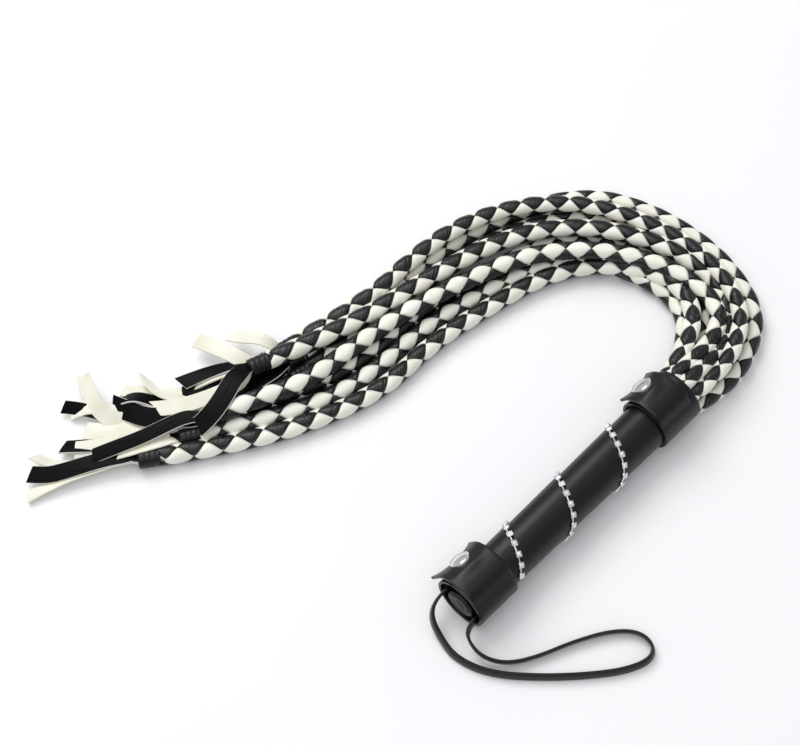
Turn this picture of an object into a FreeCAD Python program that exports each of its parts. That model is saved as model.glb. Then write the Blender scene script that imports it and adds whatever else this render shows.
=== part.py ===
import FreeCAD, Part
import math
import os

# Braided multi-tail whip, lying on a flat surface at z = 0. Millimetres, +Z up.
# The handle lies along +X with its butt at -X. The eight tails leave at +X, turn
# towards +Y and come back along -X. The origin is on the surface, under the middle
# of the handle with its collars and snap flaps.

V = FreeCAD.Vector

# ---- driving dimensions -------------------------------------------------------
HANDLE_LENGTH = 180.0      # over the two collars
WRAP_R = 14.0              # outside of the leather wrap
CORE_R = 11.5
STRAP_T = 2.0              # collar leather
COLLAR_WIDTH = 29.0
BUTT_FLAP_WIDTH = 29.0
TAILS_FLAP_WIDTH = 24.0    # the strap narrows towards its free end
END_PROUD = 1.0            # the butt disc and the root plug stand out of the collars
DISC_T = 3.0
DISC_R = 8.9               # leaves room beside it for the wrist strap's two ends
ROOT_PLUG_LENGTH = 21.0

FLAP_GAP = 1.2             # between collar and flap, filled by the snap
FLAP_ROOT_DEG = 97.0       # flap angles run from +Y towards +Z
FLAP_BEND_DEG = 30.0
FLAP_REACH = 24.0          # flap tip, sideways from the handle's axis
FLAP_TIP_DROP = 6.5        # the last, straight stretch falls by this much
HINGE_DEG = 100.0
RAMP_START_DEG = 128.0
RAMP_END_DEG = 106.0

SNAP_DEG = 42.0
SNAP_CAP_R = 6.25
SNAP_CAP_H = 1.7
SOCKET_R = 5.5
SOCKET_HOLE_R = 2.8
STUD_R = 2.2
STUD_PROUD = 0.8
POST_R = 1.0
CAP_POST_R = 1.6
SOCKET_CLEAR = 0.3

CHAIN_PITCH = 42.0         # along the handle, per turn
CHAIN_START_X = 1.5        # where the chain crosses CHAIN_START_DEG
CHAIN_START_DEG = 25.0
STONES_PER_TURN = 16
CUP_SIDE = 3.6
CUP_H = 1.3
CUP_WALL = 0.5
CHAIN_LIFT = 0.15          # the corners of a square cup clear the round wrap
STONE_R = 1.3
STONE_H = 1.7
LINK_R = 0.35

TAIL_R = 5.2               # mean radius of the round braid
BINDING_R = 5.3
BINDING_LENGTH = 12.5
STRIP_LENGTH = 75.0
STRIP_T = 1.0
TASSEL_ROOT_W = 9.0
TASSEL_END_W = 18.0
WRIST_R = 2.5

COLLAR_R = WRAP_R + STRAP_T
FLAP_R = COLLAR_R + FLAP_GAP
AXIS_Y = (COLLAR_R - FLAP_REACH) / 2      # centres the handle's box on the origin
AXIS_Z = COLLAR_R
HALF = HANDLE_LENGTH / 2
END_X = HALF + END_PROUD

# ---- routes of the free cords, as points chosen along each one -------------------
TAIL_ROUTES = {
    "a": [(102, -21, 10.2), (132, -16.5, 7.5), (160.5, 5.5, 5.7), (173, 42.5, 5.7),
          (168, 83, 5.7), (146.5, 118.5, 5.7), (108.5, 142, 5.7), (67, 154.5, 5.7),
          (24.5, 162, 5.7), (-11.5, 169, 5.7), (-48, 179, 5.7)],
    "b": [(102, -21, 21.8), (132, -16, 19.3), (159.5, 6, 17.2), (170, 42.5, 16.4),
          (163.5, 81, 15.6), (142.5, 114, 15.6), (107, 138, 15.8), (66.5, 152.5, 16.6),
          (24.5, 164, 17), (-10.5, 174.5, 15.6), (-46, 190, 9)],
    "c": [(102, -9.5, 21.8), (128.5, -5.5, 19.4), (150.5, 13, 17.2), (158.5, 44, 16.4),
          (153, 76.5, 15.6), (134.5, 106, 15.6), (102.5, 127, 15.8), (64, 141, 16.6),
          (23.5, 152, 17), (-12.5, 163, 15.6), (-58, 178, 16.2)],
    "d": [(102, 1.5, 10.2), (125.5, 5.5, 7.8), (142.5, 19.5, 5.7), (150.5, 44.5, 5.7),
          (147, 74.5, 5.7), (130.5, 101.5, 5.7), (100, 121, 5.7), (62, 132, 5.7),
          (22, 139, 5.7), (-15.5, 146.5, 5.7), (-55, 157, 5.7), (-97, 179, 5.7)],
    "e": [(102, 1.5, 21.8), (125.5, 5.5, 19.4), (141.5, 20, 17.2), (147, 45, 16.4),
          (142, 72.5, 15.6), (126.5, 97.5, 15.6), (98, 116.5, 15.8), (61.5, 129.5, 16.6),
          (22.5, 140.5, 17), (-14.5, 152, 15.6), (-55, 161, 15.8), (-90, 179, 16)],
    "f": [(102, 13, 21.8), (122, 16.5, 19.3), (133, 27.5, 17.2), (135.5, 46, 16.4),
          (128, 67, 12.5), (115, 84.5, 7.5), (91.5, 100, 5.7), (57.5, 109.5, 5.7),
          (20, 116, 5.7), (-19.5, 124, 5.7), (-55, 133, 5.7), (-97, 151.5, 5.7),
          (-137, 178, 5.7)],
    "g": [(102, 13, 10.2), (122, 16.5, 7.5), (133.5, 26.5, 5.7), (139, 45.5, 5.7),
          (136, 70, 5.7), (123, 93, 5.7), (95.5, 110.5, 5.7), (60, 120.5, 5.7),
          (21, 127.5, 5.7), (-17.5, 135, 5.7), (-55, 145, 5.7), (-105, 171, 5.7)],
    "h": [(102, -9.5, 10.2), (128.5, -5.5, 7.8), (151.5, 12.5, 5.7), (162, 43.5, 5.7),
          (157.5, 78.5, 5.7), (138.5, 110, 5.7), (104.5, 131.5, 5.7), (64.5, 143, 5.7),
          (23.5, 150.5, 5.7), (-13.5, 158, 5.7), (-42, 166, 5.7)],
}
WRIST_ROUTE = [(-88, 7.5, 16), (-98, 8, 14.5), (-107, 3, 9), (-111, -8, 4), (-111, -23, 3),
               (-104, -42, 3), (-88, -60, 3), (-70, -76, 3), (-53, -89, 3), (-39, -95, 3),
               (-27, -90, 3), (-27, -76, 3), (-40, -67, 3), (-59, -59, 3), (-79, -51, 3),
               (-94, -42, 3.5), (-102, -31, 6), (-102, -20, 10), (-96, -15.5, 11.8),
               (-88, -14.8, 12.1)]

# Each tassel fans out from its binding: direction on the surface, height of its layers.
TASSELS = {
    "a": (-0.85, 0.50, 4.2),
    "b": (-0.75, 0.66, 8.5),
    "c": (-0.80, 0.60, 15.6),
    "d": (-0.75, 0.66, 7.9),
    "e": (-0.95, 0.30, 16.0),
    "f": (-0.85, 0.50, 5.0),
    "g": (-0.75, 0.66, 4.9),
    "h": (-0.85, 0.50, 1.0),
}
FAN_FACE_X = 102.0
FAN_HALF_WIDTH = 23.5
FAN_HALF_HEIGHT = 12.0


def save(shape, name):
    if not shape.isValid():
        raise ValueError(name + " is not a valid shape")
    shape.exportStep(os.path.join("parts", name + ".step"))


def axis_point(x):
    return V(x, AXIS_Y, AXIS_Z)


def around(radius, degrees, x=0.0):
    """A point round the handle's axis; the angle runs from +Y towards +Z."""
    a = math.radians(degrees)
    return V(x, AXIS_Y + radius * math.cos(a), AXIS_Z + radius * math.sin(a))


def rod(radius, x0, x1):
    return Part.makeCylinder(radius, x1 - x0, axis_point(x0), V(1, 0, 0))


def pipe(outer, inner, x0, x1):
    return rod(outer, x0, x1).cut(rod(inner, x0, x1))


def arc_edge(radius, deg0, deg1, x):
    middle = around(radius, (deg0 + deg1) / 2, x)
    return Part.Arc(around(radius, deg0, x), middle, around(radius, deg1, x)).toShape()


def line_edge(a, b):
    return Part.LineSegment(a, b).toShape()


def prism(edges, width):
    return Part.Face(Part.Wire(edges)).extrude(V(width, 0, 0))


# ---- handle ---------------------------------------------------------------------
def handle_core():
    return rod(CORE_R, -HALF + DISC_T - END_PROUD, END_X - ROOT_PLUG_LENGTH)


def handle_wrap():
    return pipe(WRAP_R, CORE_R, -HALF + DISC_T - END_PROUD, END_X - ROOT_PLUG_LENGTH)


def butt_disc():
    return rod(DISC_R, -END_X, -END_X + DISC_T)


def tail_root_plug():
    return rod(WRAP_R, END_X - ROOT_PLUG_LENGTH, END_X)


# ---- chain of stones in cups, along the spiral seam of the wrap ----------------------
def chain_stations():
    step = CHAIN_PITCH / STONES_PER_TURN
    reach = HALF - COLLAR_WIDTH - CUP_SIDE
    first = math.ceil((-reach - CHAIN_START_X) / step)
    last = math.floor((reach - CHAIN_START_X) / step)
    stations = []
    for i in range(first, last + 1):
        x = CHAIN_START_X + i * step
        stations.append((x, CHAIN_START_DEG - i * 360.0 / STONES_PER_TURN))
    return stations


def on_wrap(shape, x, degrees):
    """Carry a shape built at the origin, +Z outward, to its place on the wrap."""
    slant = math.degrees(math.atan2(CHAIN_PITCH, 2 * math.pi * WRAP_R))
    shape.rotate(V(0, 0, 0), V(0, 0, 1), -slant)
    shape.rotate(V(0, 0, 0), V(1, 0, 0), degrees - 90)
    shape.translate(around(WRAP_R + CHAIN_LIFT, degrees, x))
    return shape


def chain_cup():
    half = CUP_SIDE / 2
    cup = Part.makeBox(CUP_SIDE, CUP_SIDE, CUP_H, V(-half, -half, 0))
    hollow_r = half - CUP_WALL
    return cup.cut(Part.makeCylinder(hollow_r, CUP_H, V(0, 0, CUP_WALL)))


def chain_stone():
    base = Part.makeCylinder(STONE_R, CUP_H - CUP_WALL, V(0, 0, CUP_WALL))
    crown = Part.makeCone(STONE_R, STONE_R / 2, STONE_H - CUP_H, V(0, 0, CUP_H))
    return base.fuse(crown).removeSplitter()


def chain_link(length):
    return Part.makeCylinder(LINK_R, length, V(0, CUP_SIDE / 2, CUP_H / 2), V(0, 1, 0))


def chain():
    pitch = math.hypot(CHAIN_PITCH, 2 * math.pi * WRAP_R) / STONES_PER_TURN
    cups, stones, links = [], [], []
    stations = chain_stations()
    for x, degrees in stations:
        cups.append(on_wrap(chain_cup(), x, degrees))
        stones.append(on_wrap(chain_stone(), x, degrees))
    cup_group = Part.makeCompound(cups)
    for x, degrees in stations[:-1]:
        links.append(on_wrap(chain_link(pitch - CUP_SIDE), x, degrees).cut(cup_group))
    return cup_group, Part.makeCompound(stones), Part.makeCompound(links)


# ---- collars, each closed by a flap with a snap -------------------------------------
def flap_section(x):
    """Outline of the flap: an arc over the collar, then a straight, flared tip."""
    inner, outer = FLAP_R, FLAP_R + STRAP_T
    bend_in = around(inner, FLAP_BEND_DEG, x)
    bend_out = around(outer, FLAP_BEND_DEG, x)
    tip_out = V(x, AXIS_Y + FLAP_REACH, bend_out.z - FLAP_TIP_DROP)
    fall = (tip_out - bend_out).normalize()
    tip_in = tip_out + V(0, fall.z, -fall.y) * STRAP_T
    return [arc_edge(outer, FLAP_ROOT_DEG, FLAP_BEND_DEG, x),
            line_edge(bend_out, tip_out),
            line_edge(tip_out, tip_in),
            line_edge(tip_in, bend_in),
            arc_edge(inner, FLAP_BEND_DEG, FLAP_ROOT_DEG, x),
            line_edge(around(inner, FLAP_ROOT_DEG, x), around(outer, FLAP_ROOT_DEG, x))]


def snap_pin(radius, r0, r1, x):
    """A round bar along the snap's own axis, from radius r0 to r1 off the handle's axis."""
    start = around(r0, SNAP_DEG, x)
    return Part.makeCylinder(radius, r1 - r0, start, around(r1, SNAP_DEG, x) - start)


def collar_ring(x0, flap_width):
    x1 = x0 + COLLAR_WIDTH
    outer = FLAP_R + STRAP_T
    ring = pipe(COLLAR_R, WRAP_R, x0, x1)
    ramp_edges = [arc_edge(COLLAR_R, RAMP_END_DEG, RAMP_START_DEG, x0),
                  line_edge(around(COLLAR_R, RAMP_START_DEG, x0), around(outer, RAMP_END_DEG, x0)),
                  line_edge(around(outer, RAMP_END_DEG, x0), around(COLLAR_R, RAMP_END_DEG, x0))]
    ring = ring.fuse(prism(ramp_edges, flap_width))
    hole = snap_pin(STUD_R, WRAP_R - 1, COLLAR_R + 1, x0 + flap_width / 2)
    return ring.cut(hole)


def collar(x0, flap_width, name):
    """The strap round the handle, its flap and the four pieces of its snap."""
    x = x0 + flap_width / 2
    outer = FLAP_R + STRAP_T
    ring = collar_ring(x0, flap_width)
    flap = prism(flap_section(x0), flap_width).cut(snap_pin(CAP_POST_R, FLAP_R - 1, outer + 1, x))
    cap = snap_pin(SNAP_CAP_R, FLAP_R, outer + SNAP_CAP_H, x)
    dome_r = (SNAP_CAP_R ** 2 + SNAP_CAP_H ** 2) / (2 * SNAP_CAP_H) + SNAP_CAP_H
    cap = cap.common(Part.makeSphere(dome_r, around(outer + SNAP_CAP_H - dome_r, SNAP_DEG, x)))
    cap = cap.cut(rod(outer, x0 - 1, x0 + COLLAR_WIDTH + 1)).cut(flap)
    cap = cap.fuse(snap_pin(CAP_POST_R, FLAP_R, outer + SNAP_CAP_H / 2, x))
    socket = snap_pin(SOCKET_R, COLLAR_R - 1, outer, x).common(rod(FLAP_R, x0, x0 + COLLAR_WIDTH))
    socket = socket.cut(rod(COLLAR_R + SOCKET_CLEAR, x0 - 1, x0 + COLLAR_WIDTH + 1))
    socket = socket.cut(snap_pin(SOCKET_HOLE_R, COLLAR_R - 1, outer, x))
    stud = snap_pin(STUD_R, WRAP_R, COLLAR_R + STUD_PROUD, x).cut(rod(WRAP_R, x0, x0 + COLLAR_WIDTH))
    post = snap_pin(POST_R, WRAP_R - 1, COLLAR_R + STUD_PROUD, x).cut(rod(WRAP_R, x0, x0 + COLLAR_WIDTH))
    stud = stud.cut(post)
    save(ring, name + "_collar")
    save(flap, name + "_flap")
    save(cap, name + "_snap_cap")
    save(socket, name + "_snap_socket")
    save(stud, name + "_snap_stud")
    save(post, name + "_snap_post")


# ---- free cords: straight runs joined by tangent arcs --------------------------------
def cord_path(points):
    points = [V(*p) for p in points]
    edges, radii = [], []
    start = points[0]
    for before, corner, after in zip(points, points[1:], points[2:]):
        u = (corner - before).normalize()
        v = (after - corner).normalize()
        cut = 0.45 * min((corner - before).Length, (after - corner).Length)
        turn = u.getAngle(v)
        radius = cut / math.tan(turn / 2)
        inward = (v - u).normalize()
        middle = corner + inward * (radius / math.cos(turn / 2) - radius)
        arc_start = corner - u * cut
        arc_end = corner + v * cut
        edges.append(line_edge(start, arc_start))
        edges.append(Part.Arc(arc_start, middle, arc_end).toShape())
        radii.append(radius)
        start = arc_end
    edges.append(line_edge(start, points[-1]))
    return Part.Wire(edges), radii


def cord(points, radius, name, neighbour):
    """A tube along the route, trimmed to meet the piece that it comes out of."""
    path, radii = cord_path(points)
    along = V(*points[1]) - V(*points[0])
    circle = Part.Wire([Part.makeCircle(radius, V(*points[0]), along)])
    tube = path.makePipeShell([circle], True, False)
    expected = math.pi * radius ** 2 * path.Length
    print(name, "length", round(path.Length), "volume ratio", round(tube.Volume / expected, 4),
          "smallest radius", round(min(radii)), [round(r) for r in radii])
    save(tube.cut(neighbour), name)


def tassel_layer(start, direction, z, blocker):
    side = V(-direction.y, direction.x, 0)
    end = start + direction * STRIP_LENGTH
    corners = [start + side * TASSEL_ROOT_W / 2, end + side * TASSEL_END_W / 2,
               end - side * TASSEL_END_W / 2, start - side * TASSEL_ROOT_W / 2]
    flat = [V(p.x, p.y, z) for p in corners]
    layer = Part.Face(Part.makePolygon(flat + flat[:1])).extrude(V(0, 0, STRIP_T))
    return layer.cut(blocker)


def tail(key, fan):
    """One braid, the binding that ties it off, and the strips left loose past it."""
    points = TAIL_ROUTES[key]
    cord(points, TAIL_R, "tail_" + key, fan)
    end = V(*points[-1])
    along = (end - V(*points[-2])).normalize()
    binding = Part.makeCylinder(BINDING_R, BINDING_LENGTH, end, along)
    save(binding, "tail_binding_" + key)
    dx, dy, z = TASSELS[key]
    direction = V(dx, dy, 0).normalize()
    start = end + along * BINDING_LENGTH
    save(tassel_layer(start, direction, z, binding), "tassel_black_" + key)
    save(tassel_layer(start, direction, z - STRIP_T, binding), "tassel_cream_" + key)


def tail_fan():
    """The pressed-together tops of the tails, between the collar and the open braids."""
    near = Part.Wire([Part.makeCircle(WRAP_R, axis_point(END_X), V(1, 0, 0))])
    centre = axis_point(FAN_FACE_X)
    ellipse = Part.Ellipse(centre + V(0, FAN_HALF_WIDTH, 0), centre + V(0, 0, FAN_HALF_HEIGHT), centre)
    far = Part.Wire([ellipse.toShape()])
    return Part.makeLoft([near, far], True, True)


os.makedirs("parts", exist_ok=True)
save(handle_core(), "handle_core")
save(handle_wrap(), "handle_wrap")
save(butt_disc(), "butt_disc")
save(tail_root_plug(), "tail_root_plug")
chain_cups, chain_stones, chain_links = chain()
save(chain_cups, "chain_cups")
save(chain_stones, "chain_stones")
save(chain_links, "chain_links")
collar(-HALF, BUTT_FLAP_WIDTH, "butt")
collar(HALF - COLLAR_WIDTH, TAILS_FLAP_WIDTH, "tails")
root_fan = tail_fan()
save(root_fan, "tail_fan")
for tail_key in TAIL_ROUTES:
    tail(tail_key, root_fan)
wrist_seat = butt_disc().fuse([collar_ring(-HALF, BUTT_FLAP_WIDTH), handle_core(), handle_wrap()])
cord(WRIST_ROUTE, WRIST_R, "wrist_strap", wrist_seat)
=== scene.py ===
import math

import bmesh
import bpy
import numpy as np
from mathutils import Matrix, Vector


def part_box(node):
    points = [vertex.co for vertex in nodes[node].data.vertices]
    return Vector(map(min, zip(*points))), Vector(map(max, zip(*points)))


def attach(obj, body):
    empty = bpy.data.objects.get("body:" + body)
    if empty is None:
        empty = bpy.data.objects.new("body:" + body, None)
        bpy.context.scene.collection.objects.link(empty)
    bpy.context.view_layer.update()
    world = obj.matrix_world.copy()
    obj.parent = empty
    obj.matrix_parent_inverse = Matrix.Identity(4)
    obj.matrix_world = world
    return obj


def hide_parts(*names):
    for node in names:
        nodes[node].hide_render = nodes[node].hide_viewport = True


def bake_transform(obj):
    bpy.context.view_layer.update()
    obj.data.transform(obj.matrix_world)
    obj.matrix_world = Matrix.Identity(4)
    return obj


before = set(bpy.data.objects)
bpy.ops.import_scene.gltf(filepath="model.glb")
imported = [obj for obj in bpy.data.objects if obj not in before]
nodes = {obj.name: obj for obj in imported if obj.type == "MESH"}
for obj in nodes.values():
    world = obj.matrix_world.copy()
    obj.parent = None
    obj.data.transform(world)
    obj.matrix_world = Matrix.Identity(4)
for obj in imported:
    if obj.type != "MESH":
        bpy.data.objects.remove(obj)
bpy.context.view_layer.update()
MM = 0.001

# ---- the frame's own places ------------------------------------------------------
wrap_low, wrap_high = (Vector(corner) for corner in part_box("handle_wrap"))
AXIS_Y = (wrap_low.y + wrap_high.y) / 2
AXIS_Z = (wrap_low.z + wrap_high.z) / 2
WRAP_R = (wrap_high.z - wrap_low.z) / 2

# ---- driving dimensions; angles run round the handle from +Y towards +Z --------------
SNAP_DEG = 42.0
CHAIN_PITCH = 42.0 * MM     # along the handle, per turn
CHAIN_START_X = 1.5 * MM    # where the chain crosses CHAIN_START_DEG
CHAIN_START_DEG = 25.0
STONES_PER_TURN = 16
BRAID_TURN = 34.0 * MM      # one strand's full turn, along the braid
BINDING_LENGTH = 12.5 * MM
STRIP_T = 1.1 * MM
WRIST_W = 5.5 * MM
WRIST_T = 1.7 * MM


# ---- camera, at the photograph's viewing angle -----------------------------------------
CAMERA_PLACE = (-0.5068, -0.3627, 1.3242)
CAMERA_AIM = (-0.0046, 0.1245, 0.0)
CAMERA_LENS = 117.0
CAMERA_SENSOR = 36.0


def make_camera():
    data = bpy.data.cameras.new("camera")
    data.sensor_width = CAMERA_SENSOR
    data.lens = CAMERA_LENS
    camera = bpy.data.objects.new("camera", data)
    bpy.context.collection.objects.link(camera)
    camera.location = CAMERA_PLACE
    aim = Vector(CAMERA_AIM) - camera.location
    camera.rotation_euler = aim.to_track_quat("-Z", "Y").to_euler()
    bpy.context.scene.camera = camera


make_camera()


# ---- mesh and curve helpers ------------------------------------------------------------
def add_object(name, data):
    piece = bpy.data.objects.new(name, data)
    bpy.context.collection.objects.link(piece)
    return piece


def mesh_object(name, points, faces, materials, smooth=True, face_slots=None, uvs=None, crease=None):
    mesh = bpy.data.meshes.new(name)
    mesh.from_pydata([tuple(p) for p in points], [], faces)
    for material in materials:
        mesh.materials.append(material)
    if face_slots is not None:
        mesh.polygons.foreach_set("material_index", face_slots)
    if uvs is not None:
        layer = mesh.uv_layers.new(name="along")
        corner_points = np.empty(len(mesh.loops), dtype=np.int32)
        mesh.loops.foreach_get("vertex_index", corner_points)
        layer.data.foreach_set("uv", np.array(uvs, dtype=np.float32)[corner_points].ravel())
    mesh.polygons.foreach_set("use_smooth", [smooth] * len(mesh.polygons))
    outward = bmesh.new()
    outward.from_mesh(mesh)
    bmesh.ops.recalc_face_normals(outward, faces=outward.faces)
    outward.to_mesh(mesh)
    outward.free()
    mesh.validate()
    mesh.update()
    if crease is not None:
        mesh.set_sharp_from_angle(angle=math.radians(crease))
    return add_object(name, mesh)


def smooth_line(points_mm):
    """The smooth line of a route: a NURBS spline with the route's points as controls."""
    curve = bpy.data.curves.new("route", "CURVE")
    curve.dimensions = "3D"
    curve.resolution_u = 24
    spline = curve.splines.new("NURBS")
    spline.points.add(len(points_mm) - 1)
    for point, place in zip(spline.points, points_mm):
        point.co = (place[0] * MM, place[1] * MM, place[2] * MM, 1.0)
    spline.order_u = 3
    spline.use_endpoint_u = True
    holder = bpy.data.objects.new("route", curve)
    line = bpy.data.meshes.new_from_object(holder)
    path = np.array([vertex.co[:] for vertex in line.vertices])
    bpy.data.objects.remove(holder)
    bpy.data.curves.remove(curve)
    bpy.data.meshes.remove(line)
    return path


class Path:
    """A line that can be read at any distance along it, with a side and an up direction."""

    def __init__(self, points):
        self.points = np.asarray(points, float)
        steps = np.linalg.norm(np.diff(self.points, axis=0), axis=1)
        self.marks = np.concatenate([[0.0], np.cumsum(steps)])
        self.length = float(self.marks[-1])

    def at(self, distance):
        distance = np.asarray(distance, float)
        inside = np.clip(distance, 0.0, self.length)
        place = np.stack([np.interp(inside, self.marks, self.points[:, k]) for k in range(3)], -1)
        reach = 2.0 * MM
        ahead = np.clip(inside + reach, 0.0, self.length)
        behind = np.clip(inside - reach, 0.0, self.length)
        tangent = np.stack([np.interp(ahead, self.marks, self.points[:, k])
                            - np.interp(behind, self.marks, self.points[:, k]) for k in range(3)], -1)
        tangent /= np.linalg.norm(tangent, axis=-1, keepdims=True)
        place = place + tangent * (distance - inside)[..., None]
        left = np.cross(np.array([0.0, 0.0, 1.0]), tangent)
        left /= np.linalg.norm(left, axis=-1, keepdims=True)
        up = np.cross(tangent, left)
        return place, tangent, left, up


# ---- materials --------------------------------------------------------------------------
def new_material(name):
    material = bpy.data.materials.new(name)
    material.use_nodes = True
    tree = material.node_tree
    shader = tree.nodes["Principled BSDF"]
    return material, tree, shader


def noise(tree, scale, detail=4.0, roughness=0.55):
    node = tree.nodes.new("ShaderNodeTexNoise")
    node.inputs["Scale"].default_value = scale
    node.inputs["Detail"].default_value = detail
    node.inputs["Roughness"].default_value = roughness
    place = tree.nodes.new("ShaderNodeTexCoord")
    tree.links.new(place.outputs["Object"], node.inputs["Vector"])
    return node


def ramp(tree, source, stops):
    node = tree.nodes.new("ShaderNodeValToRGB")
    while len(node.color_ramp.elements) < len(stops):
        node.color_ramp.elements.new(0.5)
    for element, (position, colour) in zip(node.color_ramp.elements, stops):
        element.position = position
        element.color = colour if len(colour) == 4 else (*colour, 1.0)
    tree.links.new(source, node.inputs["Fac"])
    return node.outputs["Color"]


def spread(tree, source, low, high):
    node = tree.nodes.new("ShaderNodeMapRange")
    node.inputs["To Min"].default_value = low
    node.inputs["To Max"].default_value = high
    tree.links.new(source, node.inputs["Value"])
    return node.outputs["Result"]


def bump(tree, shader, source, distance, strength=0.6, before=None):
    node = tree.nodes.new("ShaderNodeBump")
    node.inputs["Distance"].default_value = distance
    node.inputs["Strength"].default_value = strength
    tree.links.new(source, node.inputs["Height"])
    if before is not None:
        tree.links.new(before.outputs["Normal"], node.inputs["Normal"])
    tree.links.new(node.outputs["Normal"], shader.inputs["Normal"])
    return node


def leather(name, dark, light, rough_low, rough_high, grain=1800.0, depth=0.07, gloss=0.34):
    """Coated leather: fine pebble grain, faint wrinkles, uneven sheen."""
    material, tree, shader = new_material(name)
    tone = noise(tree, 45.0, 5.0)
    colour = ramp(tree, tone.outputs["Fac"], [(0.3, dark), (0.75, light)])
    tree.links.new(colour, shader.inputs["Base Color"])
    wear = noise(tree, 160.0, 6.0, 0.6)
    tree.links.new(spread(tree, wear.outputs["Fac"], rough_low, rough_high), shader.inputs["Roughness"])
    pebbles = tree.nodes.new("ShaderNodeTexVoronoi")
    pebbles.inputs["Scale"].default_value = grain
    place = tree.nodes.new("ShaderNodeTexCoord")
    tree.links.new(place.outputs["Object"], pebbles.inputs["Vector"])
    first = bump(tree, shader, pebbles.outputs["Distance"], depth * MM, 0.5)
    wrinkles = noise(tree, 320.0, 6.0, 0.65)
    bump(tree, shader, wrinkles.outputs["Fac"], depth * 2.2 * MM, 0.55, before=first)
    shader.inputs["Specular IOR Level"].default_value = gloss
    return material


def strand_leather(name, dark, light, rough_low, rough_high, ribs, rib_depth, gloss=0.5):
    """A braided strand's leather: fine creases run along the strand, over a fine grain."""
    material, tree, shader = new_material(name)
    place = tree.nodes.new("ShaderNodeUVMap")
    place.uv_map = "along"
    stretch = tree.nodes.new("ShaderNodeMapping")
    stretch.inputs["Scale"].default_value = (ribs, 60.0, 1.0)
    tree.links.new(place.outputs["UV"], stretch.inputs["Vector"])
    creases = tree.nodes.new("ShaderNodeTexNoise")
    creases.inputs["Scale"].default_value = 1.0
    creases.inputs["Detail"].default_value = 3.0
    tree.links.new(stretch.outputs["Vector"], creases.inputs["Vector"])
    tone = noise(tree, 60.0, 4.0)
    colour = ramp(tree, tone.outputs["Fac"], [(0.32, dark), (0.7, light)])
    tree.links.new(colour, shader.inputs["Base Color"])
    tree.links.new(spread(tree, creases.outputs["Fac"], rough_low, rough_high), shader.inputs["Roughness"])
    first = bump(tree, shader, creases.outputs["Fac"], rib_depth * MM, 0.7)
    grain = noise(tree, 1500.0, 3.0)
    bump(tree, shader, grain.outputs["Fac"], 0.05 * MM, 0.5, before=first)
    shader.inputs["Specular IOR Level"].default_value = gloss
    return material


def metal(name, colour, rough_low, rough_high, scratch=900.0):
    material, tree, shader = new_material(name)
    shader.inputs["Metallic"].default_value = 1.0
    smear = noise(tree, 120.0, 4.0)
    bright = tuple(min(1.0, c * 1.08) for c in colour)
    tint = ramp(tree, smear.outputs["Fac"], [(0.3, colour), (0.7, bright)])
    tree.links.new(tint, shader.inputs["Base Color"])
    marks = noise(tree, scratch, 5.0)
    tree.links.new(spread(tree, marks.outputs["Fac"], rough_low, rough_high), shader.inputs["Roughness"])
    bump(tree, shader, marks.outputs["Fac"], 0.01 * MM, 0.3)
    return material


def cut_glass(name):
    material, tree, shader = new_material(name)
    depth = noise(tree, 700.0, 2.0)
    colour = ramp(tree, depth.outputs["Fac"], [(0.3, (0.72, 0.76, 0.82)), (0.65, (1.0, 1.0, 1.0))])
    tree.links.new(colour, shader.inputs["Base Color"])
    tree.links.new(spread(tree, depth.outputs["Fac"], 0.02, 0.10), shader.inputs["Roughness"])
    shader.inputs["Metallic"].default_value = 0.35
    shader.inputs["IOR"].default_value = 1.75
    shader.inputs["Coat Weight"].default_value = 1.0
    shader.inputs["Coat Roughness"].default_value = 0.03
    return material


def turned_wood(name):
    material, tree, shader = new_material(name)
    rings = tree.nodes.new("ShaderNodeTexWave")
    rings.inputs["Scale"].default_value = 90.0
    rings.inputs["Distortion"].default_value = 5.0
    place = tree.nodes.new("ShaderNodeTexCoord")
    tree.links.new(place.outputs["Object"], rings.inputs["Vector"])
    colour = ramp(tree, rings.outputs["Fac"], [(0.2, (0.020, 0.016, 0.013)), (0.8, (0.045, 0.036, 0.030))])
    tree.links.new(colour, shader.inputs["Base Color"])
    tree.links.new(spread(tree, rings.outputs["Fac"], 0.5, 0.7), shader.inputs["Roughness"])
    bump(tree, shader, rings.outputs["Fac"], 0.05 * MM)
    return material


def paper_floor(name):
    material, tree, shader = new_material(name)
    tone = noise(tree, 3.0, 3.0)
    colour = ramp(tree, tone.outputs["Fac"], [(0.3, (0.86, 0.865, 0.875)), (0.7, (0.88, 0.885, 0.89))])
    tree.links.new(colour, shader.inputs["Base Color"])
    tree.links.new(spread(tree, tone.outputs["Fac"], 0.55, 0.65), shader.inputs["Roughness"])
    return material


BLACK = leather("black_leather", (0.0015, 0.0015, 0.002), (0.004, 0.004, 0.005), 0.30, 0.42)
BLACK_STRAND = strand_leather("black_strand", (0.003, 0.003, 0.0035), (0.008, 0.007, 0.008),
                              0.22, 0.40, 10.0, 0.90, 0.42)
CREAM_STRAND = strand_leather("cream_strand", (0.80, 0.78, 0.68), (0.90, 0.885, 0.80),
                              0.50, 0.68, 4.0, 0.12)
# The loose strips are the same black leather as the strands. Their base colour is set darker as painted
# shade, for the deeper dark the flat strips take under the light.
BLACK_STRIP_PAINTED_SHADE = strand_leather("black_strip_painted_shade", (0.0015, 0.0015, 0.002), (0.003, 0.003, 0.0035),
                             0.30, 0.48, 5.0, 0.35, 0.07)
CREAM_STRIP = strand_leather("cream_strip", (0.76, 0.73, 0.60), (0.87, 0.85, 0.74),
                             0.55, 0.72, 4.0, 0.10)
STRIP_BACKING = leather("strip_backing", (0.62, 0.60, 0.56), (0.76, 0.74, 0.70), 0.7, 0.85)
NICKEL = metal("nickel", (0.74, 0.73, 0.70), 0.14, 0.30)
SILVER = metal("silver", (0.82, 0.82, 0.83), 0.10, 0.25)
STONE = cut_glass("cut_stone")
WOOD = turned_wood("turned_wood")
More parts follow.
